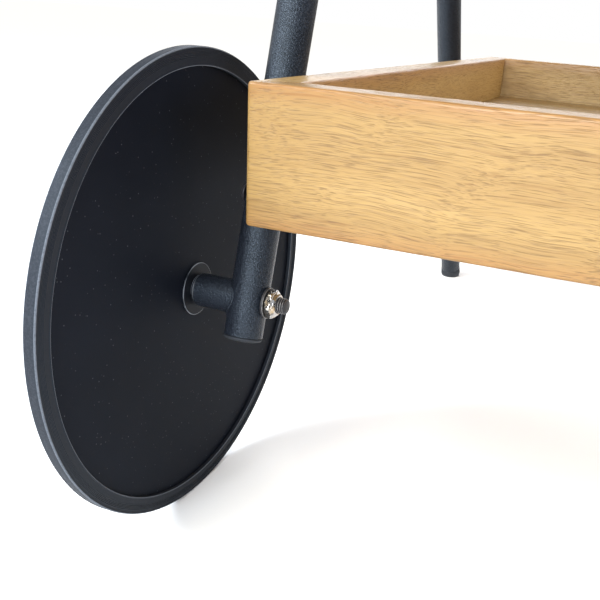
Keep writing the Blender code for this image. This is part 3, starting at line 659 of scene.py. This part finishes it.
def roundedBars(low, high, rounding):
    # Several bars at once, each a rounded rectangle carried along X, drawn in at both ends:
    # section point = middle + half size shrunk by the rounding + rounding * (cos, sin).
    low, high = np.atleast_2d(low)[:, None, None], np.atleast_2d(high)[:, None, None]
    a = (np.arange(24) + 0.5) * 2 * np.pi / 24
    c, s = np.cos(a), np.sin(a)
    q = np.linspace(0, np.pi / 2, 4)
    inset = rounding * np.concatenate([1 - np.sin(q), np.zeros(12), (1 - np.sin(q))[::-1]])
    pull = rounding * (1 - np.cos(q))
    along = np.concatenate([pull, np.zeros(12), -pull[::-1]])
    share = np.concatenate([np.zeros(4), np.linspace(0.02, 0.98, 12), np.ones(4)])
    half = (high - low) / 2
    middle = (high + low) / 2
    shrink = rounding - inset[:, None]
    y = middle[..., 1] + (half[..., 1] - rounding) * np.sign(c) + shrink * c
    z = middle[..., 2] + (half[..., 2] - rounding) * np.sign(s) + shrink * s
    x = low[..., 0] + (high[..., 0] - low[..., 0]) * share[:, None] + along[:, None]
    grid = np.stack([np.broadcast_to(x, y.shape), y, z], -1)  # bar, station, around, xyz
    bars, stations, around = grid.shape[:3]
    one = gridQuads(stations, around, False, True)
    ring = np.arange(stations * around).reshape(stations, around)
    shift = np.arange(bars) * stations * around
    quads = (one[None] + shift[:, None, None]).reshape(-1, 4)
    caps = (ring[None, [0, -1]] + shift[:, None, None]).reshape(-1, around)
    return grid, quads.tolist() + caps.tolist()


def trayFloor(tray):
    # Slats across the tray, two battens under them, and a screw up into each slat.
    name = tray["name"]
    y0, y1 = (tray["y"][0] + board["thickness"], tray["y"][1] - board["thickness"])
    pitch = (y1 - y0) / tray["slats"]
    starts = y0 + np.arange(tray["slats"]) * pitch + slat["space"] / 2
    top = tray["bottom"] + slat["top"]
    uneven = random.uniform(-0.25, 0, tray["slats"]) * mm
    low = np.stack([np.full(tray["slats"], -slat["inside"]), starts,
                    np.full(tray["slats"], top - slat["thickness"])], 1)
    high = np.stack([np.full(tray["slats"], slat["inside"]), starts + pitch - slat["space"],
                     top + uneven], 1)
    grid, faces = roundedBars(low, high, slat["edge"])
    offsets = random.uniform(-9, 9, (tray["slats"], 1, 1, 3))
    tone = np.broadcast_to(random.uniform(-1, 1, (tray["slats"], 1, 1)), grid.shape[:3])
    makePiece(name + "_slats", grid, faces, acacia, "acacia", "frame", [name + "_floor"], 42,
              wear=np.zeros(tone.size), tone=tone.ravel(), grain=(grid + offsets).reshape(-1, 3))

    size, under = slat["batten"], top - slat["thickness"] - 0.05 * mm
    wall = cart["trayHalf"] - board["thickness"] - cart["gap"]
    for sideName, side in sides:
        inner, outer = sorted((side * wall, side * (wall - size)))
        low = np.array([[y0 + 2 * mm, inner, under - size + 2 * mm]])
        high = np.array([[y1 - 2 * mm, outer, under]])
        bar, faces = roundedBars(low, high, 1.2 * mm)
        grain = bar.reshape(-1, 3) + random.uniform(-9, 9, 3)
        turnedBar = bar[..., [1, 0, 2]]
        makePiece(name + "_batten_" + sideName, turnedBar, faces, acacia, "acacia", "frame",
                  [name + "_floor"], 42, wear=np.zeros(len(grain)),
                  tone=np.full(len(grain), -0.4), grain=grain)

    # Pan heads under the battens: radius r and height from the lathe rows, copied per place
    rows = np.array([[0.9, 0], [0.85, 1.6], [0.6, 2.7], [0.1, 3.3], [-0.3, 3.3], [-0.3, 0]]) * mm
    head = latheGrid(rows, (0, 0, 0), (0, 0, -1), 16)
    cross = np.cos(2 * np.arctan2(head[..., 1], head[..., 0])) ** 2
    head[:2, :, 2] += (0.45 * mm * cross)[:2]
    middles = starts + (pitch - slat["space"]) / 2
    spots = np.stack([np.repeat([-1, 1], len(middles)) * (wall - size / 2),
                      np.tile(middles, 2), np.full(2 * len(middles), under - size + 2 * mm)], 1)
    heads = spots[:, None, None] + head
    one = gridQuads(len(rows), 16, False, True)
    faces = (one[None] + (np.arange(len(spots)) * len(rows) * 16)[:, None, None]).reshape(-1, 4)
    makePiece(name + "_batten_screws", heads, faces.tolist(), zincPlate, "spacer_zinc", "frame",
              [name + "_floor"], 42)


def buttonScrew(name, radius, origin, side, seat, end, nodes):
    # Button head with a hexagon socket: rows of (along, radius), hexagonal inside the socket.
    r = radius / mm
    rows = np.array([(1.5, 0, 0), (1.5, 0.30 * r, 1), (1.55, 0.62 * r, 1), (1.7, 0.66 * r, 1),
                     (3.1, 0.68 * r, 1), (3.35, 0.74 * r, 1), (3.4, 0.98 * r, 0),
                     (3.34, 1.15 * r, 0), (3.12, 1.42 * r, 0), (2.7, 1.74 * r, 0),
                     (2.1, 2.05 * r, 0), (1.3, 2.28 * r, 0), (0.6, 2.38 * r, 0),
                     (0.25, 2.39 * r, 0), (0.05, 2.33 * r, 0), (0, 2.2 * r, 0), (0, r, 0),
                     (-1.0, r, 0)])
    along = np.append(rows[:, 0] * mm + seat, [end, end])
    reach = np.append(rows[:, 1], [r, 0]) * mm
    hexagon = np.append(rows[:, 2], [0, 0]) > 0
    flats = np.where(hexagon, reach, 1.0)
    limit = np.where(hexagon, reach * 1.13, reach)
    grid = latheGrid(np.stack([along, limit], 1), origin, (side, 0, 0), 48, flats)
    wear = np.exp(-((np.arange(len(along)) - 5.5) / 1.2) ** 2)
    faces = gridQuads(len(along), 48, False, True).tolist()
    makePiece(name, grid, faces, blackSteel, "bolt_black", "frame", nodes, 50,
              wear=np.repeat(wear, 48))


screwSeat = cart["tubeX"] + cart["tubeRadius"] + cart["gap"]
legScrew = {"radius": 2.5 * mm, "height": 6 * mm, "end": cart["trayHalf"] - 11 * mm}
tones = iter(random.uniform(-0.7, 0.7, 16))

for tray in trays:
    for place, length, matrix in boardPlaces(tray):
        mitredBoard(tray["name"] + "_rail_" + place, length, matrix, next(tones),
                    [tray["name"] + "_" + place + "_board"])
    trayFloor(tray)
    z = tray["bottom"] + legScrew["height"]
    nearY = cart["axleY"] + (z - cart["axleZ"]) * cart["nearLean"]
    farY = cart["farGroundY"] - z * cart["farLean"]
    for sideName, side in sides:
        for leg, y in (("near", nearY), ("far", farY)):
            tail = leg + "_" + sideName
            buttonScrew(tray["name"] + "_leg_screw_" + tail, legScrew["radius"], (0, y, z), side,
                        screwSeat, legScrew["end"], [tray["name"] + "_leg_bolt_" + tail])
    print(tray["name"], "tray made")


grip = {"radius": 13.0, "endRadius": 12.2, "half": 200.1, "screwRadius": 3 * mm}


def gripRail():
    # Slightly barrelled round rail: radius falls from the middle with the square of x.
    x = np.linspace(-grip["half"], grip["half"], 61)
    swell = grip["radius"] - (grip["radius"] - grip["endRadius"]) * (x / grip["half"]) ** 2
    q = np.linspace(0, np.pi / 2, 6)
    soft = 1.6 * (1 - np.sin(q))
    edgeX = grip["half"] - 1.6 * (1 - np.cos(q))
    along = np.concatenate([[-grip["half"]], -edgeX, x[1:-1], edgeX[::-1], [grip["half"]]])
    radius = np.concatenate([[0], grip["endRadius"] - soft, swell[1:-1],
                             (grip["endRadius"] - soft)[::-1], [0]])
    grid = latheGrid(np.stack([along, radius], 1) * mm, (0, *gripMiddle), (1, 0, 0), 64)
    points = grid.reshape(-1, 3)
    makePiece("grip_rail", grid, gridQuads(len(along), 64, False, True).tolist(), acacia,
              "acacia", "frame", ["grip_bar"], 42, wear=np.zeros(len(points)),
              tone=np.full(len(points), 0.1), grain=points + random.uniform(-9, 9, 3))


gripRail()
for sideName, side in sides:
    buttonScrew("grip_screw_" + sideName, grip["screwRadius"], (0, *gripMiddle), side, screwSeat,
                grip["half"] * mm - 24 * mm, ["grip_bolt_" + sideName])
print("grip made")


tyre = {"halfWidth": 4.0, "radius": 150.0, "lip": 138.8, "seat": 141.5, "groove": 1.3,
        "wallRadii": [138.8, 139.0, 139.3, 139.7, 140.0, 143.4, 143.8, 147.0, 147.3, 148.6, 149.0],
        "wallDepths": [0.55, 0.12, 0.0, 0.12, 0.42, 0.46, 0.34, 0.34, 0.50, 0.50, 0.12],
        "ridgeFrom": 143.7, "ridgePitch": 0.8, "ridges": 4, "ridgeHeight": 0.13, "around": 224}


def tyreProfile():
    # One side wall: how deep the wall lies below the full width at each radius, with cosine
    # ridges in the middle; then a rounded shoulder, the tread with a mould line, and back.
    r = np.linspace(tyre["lip"], tyre["radius"] - 1.0, 78)
    depth = np.interp(r, tyre["wallRadii"], tyre["wallDepths"])
    ridge = (r - tyre["ridgeFrom"]) / tyre["ridgePitch"]
    inside = (ridge > 0) & (ridge < tyre["ridges"])
    depth = depth + tyre["ridgeHeight"] * inside * (1 - np.cos(2 * np.pi * ridge))
    a = np.linspace(0, np.pi / 2, 8)[1:]
    shoulder = np.stack([tyre["halfWidth"] - 0.12 - 0.9 * (1 - np.cos(a)),
                         tyre["radius"] - 1.0 + 0.9 * np.sin(a)], 1)
    x = np.linspace(-2.9, 2.9, 30)
    crown = tyre["radius"] - 0.1 - 0.12 * (x / 2.9) ** 2 + 0.09 * np.exp(-((x - 1.9) / 0.16) ** 2)
    wall = np.stack([tyre["halfWidth"] - depth, r], 1)
    half = np.vstack([wall, shoulder])
    seat = np.array([(-tyre["groove"], tyre["lip"]), (-tyre["groove"], tyre["seat"]),
                     (tyre["groove"], tyre["seat"]), (tyre["groove"], tyre["lip"])])
    profile = np.vstack([half * (-1, 1), np.stack([x, crown], 1), half[::-1], seat[::-1]])
    # wear is 1 on the inner lip and the shoulder rows: the tyre finish paints these pale as a
    # painted highlight; 0.1 on the wall
    wear = np.concatenate([[0.2] + [1] * 4 + [0.1] * 73, np.ones(7), np.zeros(30)])
    wear = np.concatenate([wear, wear[:85][::-1], np.zeros(4)])
    return profile * mm, wear


# Turned pieces: corners as (outwards from the wheel's middle plane, radius, rounding) in mm
hub = {
    "disc": [(-1, 8.3, 0), (-1, 141.2, 0.3), (1, 141.2, 0.3), (1, 8.3, 0)],
    "bush": [(-3.1, 5.3, 0.2), (-3.1, 8.6, 0.3), (-2.2, 9.0, 0.2), (-2.2, 17.5, 0.58),
             (-1.3, 17.5, 0.15), (-1.3, 8.0, 0), (5.6, 8.0, 0.3), (5.6, 5.3, 0.2)],
    "flange": [(1.3, 8.3, 0.1), (1.3, 17.5, 0.15), (2.2, 17.5, 0.42), (2.2, 8.3, 0.1)],
    "cap": [(2.5, 15.2, 0.3), (2.5, 17.0, 0.5), (11.5, 16.4, 2.2), (14.1, 14.2, 1.8),
            (15.2, 10, 1.5), (15.5, 0, 0), (13.9, 0, 0), (13.3, 10, 1), (12.3, 12.8, 1),
            (10.7, 14.6, 1.5)],
    "spacer": [(-4.2, 5.3, 0.2), (-4.2, 9.6, 0.25), (-3.4, 9.6, 0.25), (-3.4, 5.3, 0.2)],
    "washer": [(-52.7, 5.3, 0.2), (-52.7, 10, 0.3), (-54.4, 10, 0.6), (-54.4, 5.3, 0.2)],
}
lockNut = {"seat": -54.7, "acrossFlats": 17.0, "around": 96}
axleBolt = {"headSeat": 5.9, "headHeight": 5.3, "acrossFlats": 15.2, "headRadius": 8.6,
            "radius": 5.0, "end": -67.0, "threadFrom": -50.0, "pitch": 1.5, "threadDepth": 0.75,
            "tip": 0.8, "around": 60}


def lockNutPiece(sideName, side, origin):
    # Hexagon no wider than its chamfer cones, then the round collar over the nylon ring:
    # r = the least of the hexagon's radius and the row's own radius.
    rows = np.array([(0, 5.25, 0), (0, 7.6, 0), (0.03, 8.2, 0), (0.3, 8.75, 1), (0.85, 9.45, 1),
                     (1.2, 9.5, 1), (2.9, 9.5, 1), (3.2, 9.42, 1), (3.6, 9.1, 1), (4.0, 8.6, 1),
                     (4.2, 8.15, 0), (4.3, 7.75, 0), (4.6, 7.5, 0), (5.1, 7.36, 0), (5.6, 7.18, 0),
                     (6.0, 6.9, 0), (6.3, 6.5, 0), (6.5, 6.1, 0), (6.55, 5.8, 0),
                     (6.5, 5.45, 0), (6.25, 5.26, 0), (5.8, 5.25, 0), (0.2, 5.25, 0)])
    profile = np.stack([(lockNut["seat"] - rows[:, 0]), rows[:, 1]], 1) * mm
    flats = np.where(rows[:, 2] > 0, lockNut["acrossFlats"] / 2 * mm, 1.0)
    grid = latheGrid(profile, origin, (side, 0, 0), lockNut["around"], flats)
    faces = gridQuads(len(rows), lockNut["around"], True, True).tolist()
    makePiece("lock_nut_" + sideName, grid, faces, brightPlate, "nut_chrome", "frame",
              ["axle_nut_" + sideName], 32)


def axleBoltPiece(sideName, side, origin):
    # Hexagon head, plain shank, then a thread: the radius less the depth times a triangle wave
    # of (distance / pitch - angle / full turn), tapering away at the chamfered end.
    head, high = axleBolt["headSeat"], axleBolt["headSeat"] + axleBolt["headHeight"]
    big, r = axleBolt["headRadius"], axleBolt["radius"]
    rows = np.array([(high, 0, 0), (high, 6.6, 0), (high - 0.15, 7.2, 1), (high - 0.6, 8.2, 1),
                     (high - 0.9, big, 1), (head + 0.1, big, 1), (head, big - 0.1, 1),
                     (head, r + 0.2, 0), (head - 0.4, r, 0), (axleBolt["threadFrom"], r, 0)])
    end = axleBolt["end"]
    threadRows = np.arange(axleBolt["threadFrom"] - 0.1, end, -0.1)
    along = np.concatenate([rows[:, 0], threadRows, [end, end]])
    reach = np.concatenate([rows[:, 1], np.full(len(threadRows), r), [r - axleBolt["tip"], 0]])
    hexed = np.concatenate([rows[:, 2], np.zeros(len(threadRows) + 2)]) > 0
    profile = np.stack([along, reach], 1) * mm
    flats = np.where(hexed, axleBolt["acrossFlats"] / 2 * mm, 1.0)
    steps = axleBolt["around"]
    plain = latheGrid(profile, origin, (side, 0, 0), steps, flats)
    t = np.arange(steps) / steps
    wave = np.abs(((along[:, None] / axleBolt["pitch"] - t) % 1) * 2 - 1)
    cutting = np.zeros(len(along))
    first = len(rows)
    cutting[first:first + len(threadRows)] = np.minimum(np.arange(len(threadRows)) / 12, 1)
    taper = np.clip((along - end) / 0.9, 0, 1)
    shrink = cutting[:, None] * axleBolt["threadDepth"] * np.clip(wave * 1.25 - 0.12, 0, 1)
    chamfer = (1 - taper)[:, None] * 0.75 * (cutting[:, None] > 0)
    factor = 1 - np.maximum(shrink, chamfer) / r
    middle = np.array(origin) + profile[:, :1, None] * np.array((side, 0, 0))
    grid = middle + (plain - middle) * factor[..., None]
    wear = (cutting * (taper > 0.2) > 0)[:, None] * (1 - wave).clip(0, 1) ** 2 * 1.2
    wear = wear + np.isin(np.arange(len(along)), (2, 3))[:, None] * 0.6
    faces = gridQuads(len(along), steps, False, True).tolist()
    makePiece("axle_bolt_" + sideName + "_threaded", grid, faces, blackSteel, "bolt_black", "frame",
              ["axle_bolt_" + sideName], 50, wear=(wear + np.zeros(grid.shape[:2])).ravel())


for sideName, side in sides:
    origin, axis = (side * cart["wheelX"], *axle[1:]), (side, 0, 0)
    body = "wheel_" + sideName
    profile, wear = tyreProfile()
    grid = latheGrid(profile, origin, axis, tyre["around"])
    makePiece("tyre_ring_" + sideName, grid,
              gridQuads(len(profile), tyre["around"], True, True).tolist(), tyreRubber,
              "tyre_rubber", body, ["tyre_" + sideName], 50, wear=np.repeat(wear, tyre["around"]))
    for part, newName, node, finish, slotName, rides, steps in (
            ("disc", "wheel_plate_", "wheel_disc_", discBlack, "disc_black", body, 192),
            ("bush", "hub_bearing_", "hub_bush_", blackPlastic, "powder_black", body, 128),
            ("flange", "hub_ring_", "hub_flange_", powderCoat, "powder_black", body, 128),
            ("cap", "hub_dome_", "hub_cap_", blackPlastic, "plastic_black", body, 128),
            ("spacer", "sleeve_spacer_", "axle_spacer_", zincPlate, "spacer_zinc", "frame", 96),
            ("washer", "black_washer_", "axle_washer_", blackSteel, "bolt_black", "frame", 96)):
        turned(newName + sideName, hub[part], origin, axis, finish, slotName, rides,
               [node + sideName], steps=steps)
    lockNutPiece(sideName, side, origin)
    axleBoltPiece(sideName, side, origin)
print("wheels made")


# The brass inserts keep their CAD shape
for node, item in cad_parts.items():
    if "insert" in node:
        for holder in item.material_slots:
            holder.material = brass


studio = {
    "floor": (0.98, 0.98, 0.98), "world": (0.94, 0.97, 1.0), "worldStrength": 0.64,
    "backdrop": 1.0, "backdropRadius": 30.0, "floorReach": 40.0,
    "sun": (1.0, 0.93, 0.80), "sunStrength": 1.8, "sunAngle": 22.0, "sunFrom": (-0.22, -0.80, 1.05),
}
panels = {                      # place, point it faces, width, height, watts, colour, mirrored
    "front_panel": ((-0.16, -2.10, 0.92), (-0.2, -0.2, 0.2), 0.8, 0.6, 44, (0.86, 0.93, 1.0), True),
    "left_panel": ((-2.00, -1.30, 1.50), (-0.2, -0.1, 0.4), 0.9, 0.9, 66, (0.84, 0.92, 1.0), True),
    "back_panel": ((-1.00, 2.60, 1.30), (-0.1, 0.0, 0.3), 2.6, 1.1, 36, (0.90, 0.93, 1.0), True),
    "right_fill": ((1.90, 0.10, 0.80), (-0.1, 0.1, 0.25), 1.6, 0.8, 46, (1.0, 0.92, 0.90), False),
}
camera = {"place": (0.00485, -0.64053, 0.32250), "yaw": 19.482, "pitch": -22.907, "roll": 4.325,
          "lens": 45.828, "sensor": 36.0, "shift": (-0.0871, 0.0647)}


def lampAt(name, kind, place, target, strength, colour, **shape):
    # A lamp whose back axis points from its target to its place.
    light = bpy.data.lights.new(name, kind)
    light.energy, light.color = strength, colour
    for key, value in shape.items():
        setattr(light, key, value)
    lamp = addObject(name, light)
    lamp.location = place
    lamp.rotation_mode = "QUATERNION"
    lamp.rotation_quaternion = (Vector(target) - Vector(place)).to_track_quat("-Z", "Y")
    return lamp


def makeStudio():
    # Level floor, and a plain white dome that is seen but neither lights nor mirrors.
    mesh = bpy.data.meshes.new("studio_floor")
    reach = studio["floorReach"]
    mesh.from_pydata([(-reach, -reach, 0), (reach, -reach, 0), (reach, reach, 0),
                      (-reach, reach, 0)], [], [(0, 1, 2, 3)])
    mesh.materials.append(makeFinish("pale floor", lambda start: {}, {
        "Base Color": (*studio["floor"], 1), "Roughness": 0.9, "Specular IOR Level": 0.0}))
    floor = addObject("studio_floor", mesh)

    dome = bpy.data.meshes.new("backdrop")
    shape = bmesh.new()
    bmesh.ops.create_icosphere(shape, subdivisions=4, radius=studio["backdropRadius"])
    shape.to_mesh(dome)
    shape.free()
    dome.materials.append(makeFinish("white backdrop", lambda start: {}, {
        "Base Color": (0, 0, 0, 1), "Specular IOR Level": 0.0,
        "Emission Color": (1, 1, 1, 1), "Emission Strength": studio["backdrop"]}))
    backdrop = addObject("backdrop", dome)
    for ray in ("diffuse", "glossy", "transmission", "volume_scatter", "shadow"):
        setattr(backdrop, "visible_" + ray, False)

    world = bpy.data.worlds.new("soft studio")
    world.use_nodes = True
    sky = world.node_tree.nodes["Background"]
    sky.inputs["Color"].default_value = (*studio["world"], 1)
    sky.inputs["Strength"].default_value = studio["worldStrength"]
    bpy.context.scene.world = world

    lampAt("sun", "SUN", studio["sunFrom"], (0, 0, 0), studio["sunStrength"], studio["sun"],
           angle=np.radians(studio["sunAngle"]))
    for name, (place, target, width, height, watts, colour, mirrored) in panels.items():
        lamp = lampAt(name, "AREA", place, target, watts, colour,
                      shape="RECTANGLE", size=width, size_y=height)
        lamp.visible_camera, lamp.visible_glossy = False, mirrored


def makeCamera():
    # Axes of the view from yaw, pitch and roll: forwards, then right and up turned by roll.
    a, b, c = np.radians([camera["yaw"], camera["pitch"], camera["roll"]])
    forwards = np.array([-np.sin(a) * np.cos(b), np.cos(a) * np.cos(b), np.sin(b)])
    right = np.array([np.cos(a), np.sin(a), 0])
    up = np.cross(right, forwards)
    right, up = right * np.cos(c) + up * np.sin(c), up * np.cos(c) - right * np.sin(c)
    lens = bpy.data.cameras.new("view")
    lens.sensor_width, lens.lens = camera["sensor"], camera["lens"]
    lens.shift_x, lens.shift_y = camera["shift"]
    lens.clip_start, lens.clip_end = 0.01, 200
    viewer = addObject("view", lens)
    turn = Matrix(np.stack([right, up, -forwards], 1).tolist()).to_4x4()
    viewer.matrix_world = Matrix.Translation(camera["place"]) @ turn
    bpy.context.scene.camera = viewer


makeStudio()
makeCamera()
bpy.context.scene.view_settings.view_transform = "Standard"
print("studio and camera made")
